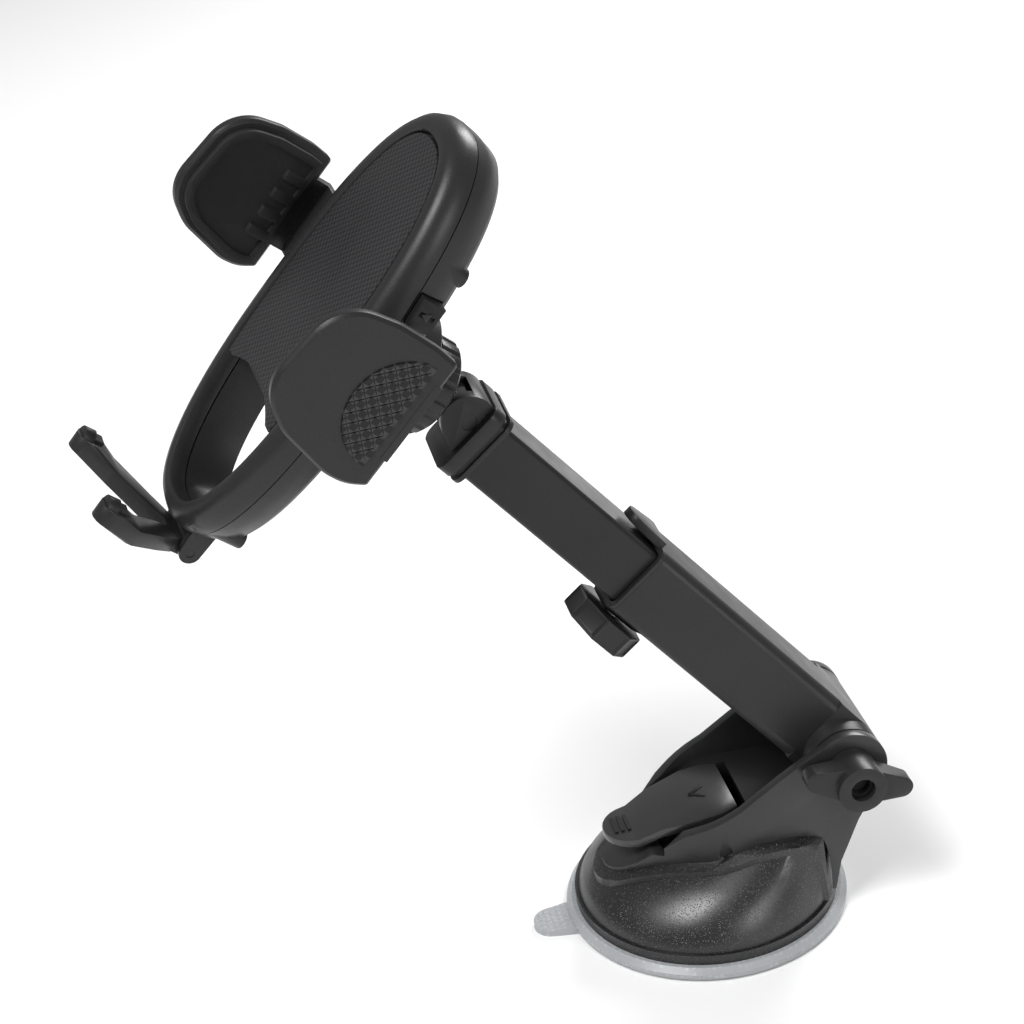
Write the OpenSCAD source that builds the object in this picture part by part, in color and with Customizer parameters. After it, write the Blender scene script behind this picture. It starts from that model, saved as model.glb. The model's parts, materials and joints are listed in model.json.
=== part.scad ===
// Telescopic suction-cup phone mount.
// Origin: centre of the cup's underside. +Z up, hinge axis along Y, lock lever towards -X.

/* [Base] */
// Radius of the soft suction cup
cup_r = 37.5; // [34:0.5:44]
// Thickness of the cup's rim
cup_rim_t = 3.6; // [2.4:0.1:4.4]
// Radius of the rigid skirt's rim
skirt_r = 35; // [32:0.5:42]
// Height of the skirt above the cup's rim
skirt_h = 22; // [18:0.5:26]
// Wall of the skirt and of the housing
base_wall = 2.6; // [2:0.1:3.2]
// Half width of the housing across its side walls
house_half = 19.5; // [18:0.25:22]
// Length of the pull tab beyond the cup
tab_len = 10; // [6:0.5:14]

/* [Lock lever] */
// Width of the lever plate
lever_w = 24; // [18:0.5:26]
// Distance from the lever pin to the lever's tip
lever_reach = 28; // [24:0.5:30]
// Thickness of the lever plate
lever_t = 2.6; // [2:0.1:3.2]
// Diameter of the lever pin
lever_pin_d = 3; // [2.5:0.1:3.6]

/* [Arm] */
// Height of the arm's hinge axis
hinge_z = 44.3; // [42:0.1:50]
// Distance of the hinge axis behind the cup's centre
hinge_x = 35.3; // [33:0.1:38]
// Lean of the arm from upright
arm_lean = 39.3; // [0:0.1:60]
// Width of the outer tube
outer_w = 22.4; // [20:0.2:25]
// Depth of the outer tube
outer_d = 19.8; // [18:0.2:21]
// Length of the outer tube from the hinge axis
outer_len = 77; // [65:1:100]
// Wall of the tubes
tube_wall = 1.7; // [1.4:0.1:2]
// Gap between the two tubes
tube_gap = 0.35; // [0.3:0.05:0.6]
// Length of the inner tube
inner_len = 72; // [70:1:76]
// How far the inner tube stands out of the outer one
inner_out = 53.5; // [45:0.5:56]
// Diameter of the hinge bolt
bolt_d = 5; // [4:0.1:6]
// Across-corners width of the thumb knob
thumb_d = 21; // [16:0.5:22]
// Thickness of the thumb knob
thumb_h = 6.4; // [5:0.2:8]

/* [Ball joint] */
// Distance from the tube's end to the eye pin
eye_out = 8; // [7.6:0.1:10]
// Offset of the eye pin from the tube's centre line
eye_up = 3; // [1:0.25:3.5]
// Radius of the stud's eye
eye_r = 5.2; // [4.8:0.1:5.4]
// Radius of the ball
ball_r = 6.5; // [6:0.1:7]
// Distance from the eye pin to the ball's centre
ball_reach = 16.9; // [16.4:0.1:20]
// Upward tilt of the holder's long axis
head_tilt = 47.7; // [20:0.1:80]
// Turn of the holder about its long axis
head_pan = 11; // [-14:0.1:14]
// Turn of the holder in its own plane
head_spin = -2.4; // [-20:0.1:20]

/* [Holder] */
// Half length of the holder ring
ring_a = 57; // [52:0.5:64]
// Half width of the holder ring
ring_b = 26.5; // [25.5:0.1:32]
// Squareness of the ring's oval
ring_power = 2.44; // [2.2:0.02:2.8]
// Width of the ring's front bezel
bezel_w = 6; // [5.8:0.1:7]
// Depth of the rear shell's side wall behind the bezel
shell_depth = 15.8; // [15.4:0.2:18]
// Wall of the shells
shell_wall = 1.6; // [1.4:0.1:2]
// Distance from the ball's centre to the ring's front
ball_back = 31.5; // [31:0.25:34]
// Radius of the clamping nut
nut_r = 12.2; // [11.8:0.1:13]

/* [Clamps] */
// Distance of each clamp plate from the middle, clamps open
clamp_y = 50.5; // [46:0.5:54]
// Width of a clamp plate
plate_w = 36; // [32:0.2:40]
// Height of a clamp plate
plate_h = 32; // [28:0.5:36]
// Thickness of a clamp plate
plate_t = 3.4; // [3:0.1:4]
// Inward lean of the clamp plates
plate_lean = 6; // [0:0.5:8]
// Width of the sliding arms
slide_w = 20; // [19:0.5:20]
// Pitch radius of the pinion
pinion_r = 5; // [4.6:0.1:5.2]
// Number of pinion teeth
pinion_teeth = 10; // [9:1:12]

/* [Foot] */
// Spread of the fork's tips from the middle
fork_spread = 15; // [10:0.5:18]
// Reach of the fork in front of the ring
fork_reach = 17; // [12:0.5:24]

/* [Fits] */
// Radial clearance of turning and sliding fits
fit = 0.05; // [0.02:0.01:0.1]
// Gap between pieces that pass each other
pass_gap = 0.35; // [0.3:0.05:0.5]

/* [Hidden] */
$fn = 64;
hull_fn = 32;

// Base levels
skirt_z = cup_rim_t;
rim_band = 2.8;
skirt_top = skirt_z + skirt_h;
membrane_t = 1.4;
// The skirt's dome leans back: each slice is [share of height, radius lost, move back]
dome_slices = [[0, 0.8, 0], [0.2, 2, 0.8], [0.45, 4.6, 3.4], [0.66, 8.4, 8], [0.8, 11.4, 12.4],
    [0.91, 13.4, 15.4], [1, 16, 16.6]];
land_rise = 1.1;
land_reach = 2.6;
// Housing
ear_r = 10;
ear_t = base_wall;
nose_r = 9;
nose_x = -18.2;
deck_z = 32;
back_x = 30.4;
pin_x = 1.5;
pin_z = 25.8;
recess_half = lever_w / 2 + 0.8;
// Arm
boss_half = house_half - ear_t - 0.7;
inner_w = outer_w - 2 * tube_wall - 2 * tube_gap;
inner_d = outer_d - 2 * tube_wall - 2 * tube_gap;
inner_end = outer_len + inner_out;
inner_start = inner_end - inner_len;
thumb_s = outer_len - 6;
insert_r = 3.4;
shoe_len = 7.4;
screw_r = 2.2;
collar_t = 2.2;
tongue_out = 11;
// Joint
eye_s = inner_end + eye_out;
eye_half = 4.2;
slot_half = eye_half + pass_gap;
cheek_r = 6.6;
cheek_half = 8;
socket_w = outer_w - 0.4;
socket_d = outer_d + 0.2;
seat_wall = 1.8;
seat_r = ball_r + fit + seat_wall;
hub_wall = 1.2;
hub_r = seat_r + fit + hub_wall;
nut_back = -ball_back - ball_r - 1.2;
nut_lip = 1.8;
nut_h = 6.4;
hub_top = nut_back + nut_lip + pass_gap;
neck_r = 3.3;
hub_disc_r = 16.8;
disc_back = nut_back + nut_h + 4.6;
// Holder levels, from the ring's front edge
bezel_back = -6.5;
shell_back = -shell_depth;
floor_z = shell_back + shell_wall;
far_z = floor_z + pass_gap;
slide_t = 1.9;
gear_z = far_z + slide_t + pass_gap;
gear_t = 2.4;
near_z = gear_z + gear_t + pass_gap;
clamp_x = 7.5;
plate_root = near_z;
corner_r = 11;
plate_edge = 0.8;
stroke = 19.5;
slide_in = 2.6;
pad_end = -17;
window_x = pad_end - 1.6;
button_x = clamp_x + slide_w / 2 + 4.7;
button_w = 7;
button_h = 6;
button_z = floor_z + 0.8 + button_h / 2;
pin_foot = [-ring_a - 3.8, -9.6];
rack_pitch = 2 * PI * pinion_r / pinion_teeth;
ring_steps = 96;

// ---------- shared outlines and helpers ----------
module arm_frame() { translate([hinge_x, 0, hinge_z]) rotate([0, -arm_lean, 0]) children(); }
module eye_frame() { arm_frame() translate([eye_up, 0, eye_s]) rotate([0, arm_lean, 0]) children(); }
module stud_frame() { eye_frame() rotate([0, -head_tilt, 0]) translate([0, 0, ball_reach]) children(); }
module head_frame() {
    stud_frame() rotate([head_pan, 0, 0]) rotate([0, 0, head_spin]) translate([0, 0, ball_back]) children();
}
module hinge_axis() { translate([hinge_x, 0, hinge_z]) rotate([-90, 0, 0]) children(); }
function power(v, p) = sign(v) * pow(abs(v), p);
function oval(inset) = [for (i = [0:ring_steps - 1]) let (t = (i + 0.5) * 360 / ring_steps)
    [(ring_a - inset) * power(cos(t), 2 / ring_power), (ring_b - inset) * power(sin(t), 2 / ring_power)]];
module oval_plate(inset, z0, z1) { translate([0, 0, z0]) linear_extrude(z1 - z0) polygon(oval(inset)); }
// A closed profile of [inset, height] points carried round the oval
module oval_sweep(profile) {
    count = len(profile);
    rings = [for (p = profile) [for (q = oval(p[0])) [q[0], q[1], p[1]]]];
    points = [for (r = rings) each r];
    faces = [for (j = [0:count - 1], i = [0:ring_steps - 1])
        let (k = (j + 1) % count, m = (i + 1) % ring_steps)
        each [[j * ring_steps + i, j * ring_steps + m, k * ring_steps + m],
            [j * ring_steps + i, k * ring_steps + m, k * ring_steps + i]]];
    polyhedron(points, faces);
}
// A round wire wound into a coil, standing on z = 0
module coil(radius, wire, height, turns) {
    sides = 8;
    steps = turns * 12;
    points = [for (i = [0:steps], j = [0:sides - 1])
        let (a = i * 30, b = j * 360 / sides, r = radius + wire * cos(b))
        [r * cos(a), r * sin(a), wire + (height - 2 * wire) * i / steps + wire * sin(b)]];
    walls = [for (i = [0:steps - 1], j = [0:sides - 1])
        let (m = (j + 1) % sides, p = i * sides)
        each [[p + j, p + sides + m, p + m], [p + j, p + sides + j, p + sides + m]]];
    ends = [[for (j = [0:sides - 1]) j], [for (j = [sides - 1:-1:0]) steps * sides + j]];
    polyhedron(points, concat(walls, ends));
}
module round_box(w, d, r) { offset(r) square([d - 2 * r, w - 2 * r], center = true); }

// ---------- base ----------
module suction_cup() {
    color("gainsboro") difference() {
        union() {
            rotate_extrude() polygon([[0, 0], [cup_r - 1.2, 0], [cup_r, 0.9], [cup_r, 2.2],
                [cup_r - 1.4, cup_rim_t], [skirt_r - 5, cup_rim_t], [skirt_r - 7, membrane_t + 0.6],
                [12, membrane_t], [0, membrane_t]]);
            linear_extrude(2) hull() {
                translate([-cup_r - tab_len + 5, 0]) circle(5, $fn = hull_fn);
                translate([-cup_r + 4, 0]) circle(6.5, $fn = hull_fn);
            }
        }
    }
}
module cup_stem() {
    color("dimgray") difference() {
        union() {
            translate([0, 0, membrane_t]) cylinder(h = 2, r = 11);
            translate([0, 0, membrane_t + 1]) cylinder(h = 17, r = 4.4);
            translate([pin_x, 4, pin_z]) rotate([90, 0, 0]) cylinder(h = 8, r = 3.9);
            translate([pin_x - 3.9, -4, 18]) cube([7.8, 8, pin_z - 18]);
        }
        translate([pin_x, 0, pin_z]) rotate([90, 0, 0])
            cylinder(h = 20, r = lever_pin_d / 2 + fit, center = true);
    }
}
module cup_spring() { color("silver") translate([0, 0, membrane_t + 2.2]) coil(7, 0.7, 12, 4); }
module dome(grow, floor_z) {
    hull() {
        for (s = dome_slices)
            translate([s[2], 0, skirt_z + rim_band + s[0] * (skirt_h - rim_band) + (s[0] > 0 ? grow : 0)])
                cylinder(h = 0.01, r = skirt_r - s[1] + grow, $fn = 72);
        translate([0, 0, floor_z]) cylinder(h = 0.01, r = skirt_r - dome_slices[0][1] + grow, $fn = 72);
    }
}
module house_plan(grow) {
    offset(grow) hull() {
        translate([nose_x, 0]) circle(nose_r, $fn = hull_fn);
        translate([4, 0]) circle(house_half, $fn = 48);
        translate([hinge_x, -house_half]) square([ear_r, 2 * house_half]);
    }
}
module base_skirt() {
    color("#242424") difference() {
        union() {
            translate([0, 0, skirt_z]) cylinder(h = rim_band, r = skirt_r);
            dome(0, skirt_z + rim_band - 0.5);
            intersection() {
                dome(land_rise, skirt_z + rim_band);
                linear_extrude(60) house_plan(land_reach);
                translate([-50, -50, 0]) cube([50 + back_x - 3, 100, 60]);
            }
        }
        dome(-base_wall, skirt_z - 1);
        for (p = screw_places) translate([p[0], p[1], 8]) cylinder(h = 30, r = 1.3);
        translate([pin_x, 0, pin_z]) rotate([90, 0, 0])
            cylinder(h = 60, r = lever_pin_d / 2 + fit, center = true);
        translate([0, 0, skirt_z + 8]) cylinder(h = 40, r = 9);
        translate([pin_x - 7, -recess_half, 14]) cube([18, 2 * recess_half, 20]);
    }
}
// Side view of the housing, from its nose up over the ears and down its back
module house_side() {
    polygon([[-28, 8], [-27.4, 17.4], [-20, 21.2], [-8, 30.8], [6, 37.6], [16.5, 44.6], [22.7, 48.4],
        [hinge_x - 5.7, hinge_z + 7.9], [hinge_x, hinge_z], [hinge_x + 9, hinge_z - 4], [37.1, 28.3],
        [32, 16.3], [back_x, 8]]);
}
module base_housing() {
    color("#2b2b2b") difference() {
        intersection() {
            union() {
                translate([0, 60, 0]) rotate([90, 0, 0]) linear_extrude(120) house_side();
                hinge_axis() cylinder(h = 60, r = ear_r, center = true);
            }
            linear_extrude(80) house_plan(0);
        }
        dome(land_rise, skirt_z + rim_band);
        cylinder(h = skirt_z + rim_band + 0.1, r = skirt_r + 0.1);
        // Open trough between the side walls
        intersection() {
            linear_extrude(80) house_plan(-ear_t);
            translate([0, 60, 0]) rotate([90, 0, 0]) linear_extrude(120)
                polygon([[-40, 23.4], [-20, 23.4], [4, deck_z], [26, deck_z], [60, deck_z - 3],
                    [60, 90], [-40, 90]]);
        }
        hinge_axis() cylinder(h = 2 * boss_half + 1.4, r = ear_r + 0.6, center = true);
        // Lever recess, the slot behind the lever and the pits over the pin's ends
        translate([0, recess_half, 0]) rotate([90, 0, 0]) linear_extrude(2 * recess_half)
            polygon([[-40, 24.2], [-13, 24.2], [-7, 15], [pin_x + 11, 15], [pin_x + 11, 28],
                [pin_x + 9, 31], [pin_x + 9, 60], [-40, 60]]);
        translate([pin_x, 0, pin_z]) rotate([90, 0, 0])
            cylinder(h = 60, r = lever_pin_d / 2 + fit, center = true);
        for (side = [-1, 1]) translate([pin_x, side * (house_half + 5) + 6, pin_z]) rotate([90, 0, 0])
            cylinder(h = 12, r = 1.9);
        hinge_axis() cylinder(h = 60, r = bolt_d / 2 + fit, center = true);
        for (p = screw_places) translate([p[0], p[1], 8]) cylinder(h = 22, r = 1.3);
    }
}
screw_places = [[24, 14.4], [24, -14.4]];
module housing_screws() {
    color("silver") for (p = screw_places) translate([p[0], p[1], 18]) {
        cylinder(h = 8, r = 1.25);
    }
}
module lever_pin() {
    color("silver") translate([pin_x, 0, pin_z]) rotate([90, 0, 0])
        cylinder(h = 2 * house_half - 2.6, r = lever_pin_d / 2, center = true);
}
module pivot_bolt() {
    color("silver") hinge_axis() {
        translate([0, 0, -house_half - 6]) cylinder(h = 2 * house_half + 6, r = bolt_d / 2);
        translate([0, 0, house_half]) cylinder(h = 2.4, r = 4.6);
    }
}
module bolt_cap() {
    color("#202020") hinge_axis() difference() {
        translate([0, 0, house_half]) cylinder(h = 3.6, r1 = 7, r2 = 6.2);
        translate([0, 0, house_half - 1]) cylinder(h = 3.5, r = 4.65);
    }
}

// ---------- lock lever ----------
module lever_side(t) {
    tip = pin_x - lever_reach;
    polygon([[tip, 27.2], [tip + 8, 27.6], [tip + 14, 30.4], [-2, 32.6], [7.5, 33.6], [7.5, 33.6 - t],
        [-2, 32.6 - t], [tip + 14, 30.4 - t], [tip + 8, 27.6 - t], [tip, 27.2 - t * 0.8]]);
}
module lock_lever() {
    color("#303030") difference() {
        union() {
            intersection() {
                translate([0, 30, 0]) rotate([90, 0, 0]) linear_extrude(60) lever_side(lever_t);
                linear_extrude(60) hull() {
                    translate([pin_x - lever_reach + 8, 0]) circle(8, $fn = hull_fn);
                    translate([-3, -lever_w / 2]) square([6, lever_w]);
                    translate([5, -lever_w / 2 + 1.6]) square([2.5, lever_w - 3.2]);
                }
            }
            for (side = [-1, 1]) translate([pin_x, side * 7.6 + 3, pin_z]) rotate([90, 0, 0])
                cylinder(h = 6, r = 5.4);
            for (side = [-1, 1]) translate([pin_x - 4.4, side * 7.6 - 3, pin_z])
                cube([8.8, 6, 33 - lever_t - pin_z + 1.2]);
        }
        translate([pin_x, 0, pin_z]) rotate([90, 0, 0])
            cylinder(h = 60, r = lever_pin_d / 2 + fit, center = true);
    }
}
module lever_inlay() {
    tip = pin_x - lever_reach;
    color("#1c1c1c") for (i = [0:2]) translate([tip + 2.6 + 1.7 * i, -3.4, 27.32 + 0.05 * (2.6 + 1.7 * i)])
        cube([0.9, 6.8, 0.5]);
}

// ---------- hinge knob ----------
module wing_knob() {
    color("#262626") hinge_axis() difference() {
        union() {
            translate([0, 0, -house_half - 10.4]) cylinder(h = 10.1, r = 6.4);
            rotate([0, 0, 16]) for (side = [-1, 1]) hull() {
                translate([side * 3.4, 0, -house_half - 8.6]) cylinder(h = 6, r = 4.6, $fn = hull_fn);
                translate([side * 11.6, 0, -house_half - 8]) cylinder(h = 4.4, r = 2.8, $fn = hull_fn);
            }
        }
        translate([0, 0, -house_half - 11]) cylinder(h = 3, r = 3.2);
        translate([0, 0, -house_half - 9]) cylinder(h = 9.5, r = 3.6);
    }
}
module knob_insert() {
    color("goldenrod") hinge_axis() difference() {
        translate([0, 0, -house_half - 7.9]) cylinder(h = 7.4, r = 3.6);
        translate([0, 0, -house_half - 9]) cylinder(h = 12, r = bolt_d / 2 + fit);
    }
}

// ---------- lower arm ----------
module outer_tube() {
    color("#2e2e2e") arm_frame() difference() {
        union() {
            translate([0, 0, 8]) linear_extrude(outer_len - 8) round_box(outer_w, outer_d, 3);
            rotate([90, 0, 0]) cylinder(h = 2 * boss_half, r = outer_d / 2, center = true);
            translate([-outer_d / 2, -outer_w / 2, 0]) cube([outer_d, outer_w, 10]);
            hull() {
                translate([-outer_d / 2 - 1.4, -5, outer_len - 11]) cube([3, 10, 10.4]);
                translate([-outer_d / 2 + 0.4, -7, outer_len - 16]) cube([1, 14, 15.4]);
            }
        }
        translate([0, 0, 14]) linear_extrude(outer_len)
            round_box(outer_w - 2 * tube_wall, outer_d - 2 * tube_wall, 1.6);
        rotate([90, 0, 0]) cylinder(h = 60, r = bolt_d / 2 + fit, center = true);
        translate([0, 0, thumb_s]) rotate([0, -90, 0]) cylinder(h = 30, r = insert_r);
        translate([-outer_d / 2 + 1.1, -6, thumb_s - 4]) cube([2, 12, shoe_len]);
        translate([0, 0, outer_len - collar_t]) linear_extrude(10)
            round_box(outer_w - 1.6, outer_d - 1.6, 2.2);
    }
}
module mouth_collar() {
    color("#191919") arm_frame() difference() {
        union() {
            translate([0, 0, outer_len - collar_t]) linear_extrude(collar_t)
                round_box(outer_w - 1.6, outer_d - 1.6, 2.2);
            translate([0, 0, outer_len]) linear_extrude(1) round_box(outer_w, outer_d, 3);
            translate([inner_d / 2 + tube_gap + 0.8, 0, outer_len]) hull() {
                translate([0, -6.2, 0]) cube([2.2, 12.4, 2]);
                translate([0, 0, tongue_out - 4.4]) rotate([0, 90, 0])
                    cylinder(h = 2.2, r = 4.4, $fn = hull_fn);
            }
        }
        translate([0, 0, outer_len - 8]) linear_extrude(40)
            round_box(inner_w + 2 * pass_gap, inner_d + 2 * pass_gap, 1.5);
    }
}
module pivot_washers() {
    color("silver") hinge_axis() for (side = [-1, 1]) translate([0, 0, side * (boss_half + 0.35)])
        difference() {
            cylinder(h = 0.5, r = 8, center = true);
            cylinder(h = 2, r = bolt_d / 2 + fit, center = true);
        }
}
module threaded_insert() {
    color("goldenrod") arm_frame() translate([-outer_d / 2 - 1.4, 0, thumb_s]) rotate([0, 90, 0]) difference() {
        cylinder(h = 2.5, r = insert_r);
        translate([0, 0, -1]) cylinder(h = 6, r = screw_r + fit);
    }
}
module brake_shoe() {
    color("#111111") arm_frame() translate([-outer_d / 2 + 1.1, -6, thumb_s - 4]) cube([0.6, 12, shoe_len]);
}
module thumb_knob() {
    color("#242424") arm_frame() translate([-outer_d / 2 - 2.2, 0, thumb_s]) rotate([0, -90, 0]) difference() {
        union() {
            cylinder(h = 1.2, r1 = thumb_d / 2 - 1.2, r2 = thumb_d / 2, $fn = 8);
            translate([0, 0, 1.2]) cylinder(h = thumb_h - 2.4, r = thumb_d / 2, $fn = 8);
            translate([0, 0, thumb_h - 1.2]) cylinder(h = 1.2, r1 = thumb_d / 2, r2 = thumb_d / 2 - 1.6, $fn = 8);
        }
        translate([0, 0, -1]) cylinder(h = thumb_h - 1, r = screw_r);
    }
}
module thumb_screw() {
    color("silver") arm_frame() translate([-outer_d / 2 - 2.2 - thumb_h + 2, 0, thumb_s]) rotate([0, 90, 0])
        cylinder(h = thumb_h + 1, r = screw_r);
}

// ---------- upper arm ----------
module inner_tube() {
    color("#3a3a3a") arm_frame() difference() {
        translate([0, 0, inner_start]) linear_extrude(inner_len) round_box(inner_w, inner_d, 1.5);
        translate([0, 0, inner_start - 1]) linear_extrude(inner_len + 2)
            round_box(inner_w - 2 * tube_wall, inner_d - 2 * tube_wall, 0.8);
    }
}
module end_slider() {
    color("#151515") arm_frame() {
        translate([0, 0, inner_start - 3]) linear_extrude(3) round_box(inner_w, inner_d, 1.5);
        translate([0, 0, inner_start]) linear_extrude(6)
            round_box(inner_w - 2 * tube_wall, inner_d - 2 * tube_wall, 0.8);
    }
}
module end_socket() {
    color("#222222") arm_frame() difference() {
        union() {
            translate([0, 0, inner_end - 10]) linear_extrude(10)
                round_box(inner_w - 2 * tube_wall, inner_d - 2 * tube_wall, 0.8);
            translate([0, 0, inner_end]) linear_extrude(1.2) round_box(socket_w, socket_d, 3);
            translate([0, 0, inner_end + 1.2]) linear_extrude(1.4) round_box(socket_w - 2, socket_d - 2, 3);
            translate([0, 0, inner_end + 2.6]) linear_extrude(3.4) round_box(socket_w - 0.6, socket_d, 3);
            hull() {
                translate([eye_up, 0, eye_s]) rotate([90, 0, 0])
                    cylinder(h = 2 * cheek_half, r = cheek_r, center = true, $fn = 48);
                translate([-5, -cheek_half, inner_end + 5]) cube([14, 2 * cheek_half, 1]);
            }
        }
        // Slot in which the stud swings, and the pin's bore
        translate([eye_up, 0, eye_s]) {
            rotate([90, 0, 0]) cylinder(h = 2 * slot_half, r = eye_r + 0.5, center = true);
            for (a = [-24:16:40]) rotate([0, -a, 0]) translate([-neck_r - 0.5, -slot_half, 0])
                cube([2 * neck_r + 1, 2 * slot_half, 20]);
            rotate([90, 0, 0]) cylinder(h = 40, r = 2 + fit, center = true);
        }
    }
}
module eye_pin() {
    color("silver") eye_frame() rotate([90, 0, 0]) cylinder(h = 2 * cheek_half - 0.4, r = 2, center = true);
}
module ball_stud() {
    color("silver") difference() {
        union() {
            eye_frame() rotate([90, 0, 0]) cylinder(h = 2 * eye_half, r = eye_r, center = true);
            stud_frame() translate([0, 0, -ball_reach]) cylinder(h = ball_reach, r = neck_r);
            stud_frame() sphere(ball_r);
        }
        eye_frame() rotate([90, 0, 0]) cylinder(h = 40, r = 2 + fit, center = true);
    }
}
module ball_seat() {
    color("#d8d8d0") head_frame() translate([0, 0, -ball_back]) difference() {
        translate([0, 0, -5]) cylinder(h = 5 + ball_r + 1, r = seat_r);
        sphere(ball_r + fit);
        translate([0, 0, -8]) cylinder(h = 8, r1 = ball_r - 0.4, r2 = ball_r - 2.6);
    }
}

// ---------- holder ----------
module ring_nut() {
    color("#262626") head_frame() translate([0, 0, nut_back]) difference() {
        union() {
            cylinder(h = 1, r1 = nut_r - 1, r2 = nut_r);
            translate([0, 0, 1]) cylinder(h = nut_h - 1, r = nut_r);
        }
        translate([0, 0, nut_lip]) cylinder(h = 20, r = hub_r + fit);
        translate([0, 0, -1]) cylinder(h = 10, r = 6.4);
        for (a = [0:20:340]) rotate([0, 0, a]) translate([nut_r + 0.7, 0, -1]) cylinder(h = 20, r = 1.2, $fn = 16);
    }
}
function oval_y(x, inset) = (ring_b - inset) * pow(1 - pow(abs(x) / (ring_a - inset), ring_power), 1 / ring_power);
upper_screw = [ring_a - 25, oval_y(ring_a - 25, 3.35)];
lower_screw = [6.8 - ring_a, oval_y(ring_a - 6.8, 2.43)];
shell_screw_places = [[ring_a - bezel_w, 0], upper_screw, [upper_screw[0], -upper_screw[1]], lower_screw,
    [lower_screw[0], -lower_screw[1]]];
module foot_ears() {
    for (side = [-1, 1]) translate([0, side * 6.9, 0]) rotate([90, 0, 0]) translate([0, 0, -1.1]) linear_extrude(2.2)
        hull() {
            translate(pin_foot) circle(2.7, $fn = hull_fn);
            translate([pin_foot[0] + 6, pin_foot[1] - 3]) square([1, 6]);
        }
}
module rear_shell() {
    w = shell_wall;
    b = bezel_w;
    color("#2a2a2a") head_frame() difference() {
        union() {
            oval_sweep([[0.1, bezel_back - 0.3], [0.4, -9.5], [1.6, shell_back + 1.8], [3.4, shell_back],
                [b + 1.5, shell_back], [b, -4.7], [b - w, -4.7], [b - w + 1, floor_z], [3.6, floor_z],
                [w + 1, floor_z + 2], [w + 0.1, -9], [w + 0.1, bezel_back - 0.3]]);
            intersection() {
                oval_plate(3.6, shell_back, -4.7);
                difference() {
                    translate([window_x, -50, -40]) cube([100, 100, 40]);
                    translate([window_x + w, -60, floor_z]) cube([120, 120, 60]);
                }
            }
            translate([0, 0, disc_back]) cylinder(h = shell_back - disc_back + 0.6, r = hub_disc_r);
            translate([0, 0, nut_back + nut_h + pass_gap])
                cylinder(h = 4.6 - pass_gap, r1 = nut_r - 0.3, r2 = hub_disc_r);
            translate([0, 0, hub_top]) cylinder(h = disc_back - hub_top, r = hub_r);
            for (p = shell_screw_places) translate([p[0], p[1], shell_back])
                cylinder(h = -shell_back + bezel_back - 0.1, r = 2.3);
            for (side = [-1, 1]) translate([button_x - 3, side * 15 - 0.7, floor_z]) cube([6, 1.4, 7]);
            foot_ears();
        }
        translate([0, 0, hub_top - 1]) cylinder(h = ball_r + 1.2 - ball_back - hub_top + 1, r = seat_r + fit);
        // Room for the racks, open to the slots of the sliding arms
        intersection() {
            oval_plate(3.4, floor_z, 0);
            translate([clamp_x - slide_w / 2 - pass_gap, -40, floor_z]) cube([slide_w + 2 * pass_gap, 80, 20]);
        }
        translate([0, 0, floor_z]) linear_extrude(20) difference() {
            polygon(oval(4.2));
            translate([-100, -50]) square([100 + window_x + w, 100]);
            for (p = shell_screw_places) translate([p[0], p[1]]) circle(2.3, $fn = hull_fn);
            for (side = [-1, 1]) translate([button_x - 3, side * 15 - 0.7]) square([6, 1.4]);
        }
        translate([clamp_x - slide_w / 2 - pass_gap, 0, far_z - pass_gap])
            cube([slide_w + 2 * pass_gap, 60, slide_t + 2 * pass_gap]);
        translate([clamp_x - slide_w / 2 - pass_gap, -60, near_z - pass_gap])
            cube([slide_w + 2 * pass_gap, 60, slide_t + 2 * pass_gap]);
        for (side = [-1, 1]) translate([button_x, side * 27, button_z])
            cube([button_w + 2 * pass_gap, 14, button_h + 2 * pass_gap], center = true);
        translate([pin_foot[0], 0, pin_foot[1]]) rotate([90, 0, 0]) cylinder(h = 30, r = 1 + fit, center = true);
        for (p = shell_screw_places) translate([p[0], p[1], 0]) {
            translate([0, 0, shell_back - 1]) cylinder(h = 30, r = 1.15);
            translate([0, 0, bezel_back - 0.1]) cylinder(h = 20, r = 2.4);
        }
    }
}
module front_bezel() {
    b = bezel_w;
    color("#262626") head_frame() difference() {
        union() {
            oval_sweep([[1.6, bezel_back], [1.6, -3.4], [3, -1.9], [b - 1.4, -1.9], [b - 1.4, -4.3], [b, -4.3],
                [b, -0.7], [b - 0.4, -0.2], [4.2, 0], [2.6, -0.4], [1, -1.9], [0, -4.6], [0, bezel_back]]);
            for (p = shell_screw_places) translate([p[0], p[1], bezel_back]) cylinder(h = 4.6, r = 2.2);
        }
        for (p = shell_screw_places) translate([p[0], p[1], bezel_back - 1]) cylinder(h = 5, r = 1.15);
    }
}
module shell_screws() {
    color("silver") head_frame() for (p = shell_screw_places) translate([p[0], p[1], shell_back])
        cylinder(h = -shell_back + bezel_back + 3.6, r = 1.1);
}
module pad_plan(inset, end_x) {
    difference() {
        polygon(oval(inset));
        translate([-100, -50]) square([100 + end_x, 100]);
    }
}
module face_plate() {
    color("#2a2a2a") head_frame() difference() {
        translate([0, 0, -3.4]) linear_extrude(1.6) pad_plan(bezel_w + 0.1, window_x);
        translate([ring_a - bezel_w, 0, -5]) cylinder(h = 5, r = 2.4);
    }
}
module face_pad() {
    color("#1d1d1d") head_frame() translate([0, 0, -1.8]) linear_extrude(1.4) difference() {
        pad_plan(bezel_w + 0.5, pad_end - 4);
        translate([pad_end - 34, 0]) circle(34, $fn = 72);
    }
}
module gear_post() {
    color("silver") head_frame() translate([clamp_x, 0, floor_z])
        cylinder(h = gear_z + gear_t - floor_z, r = 2);
}
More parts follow.
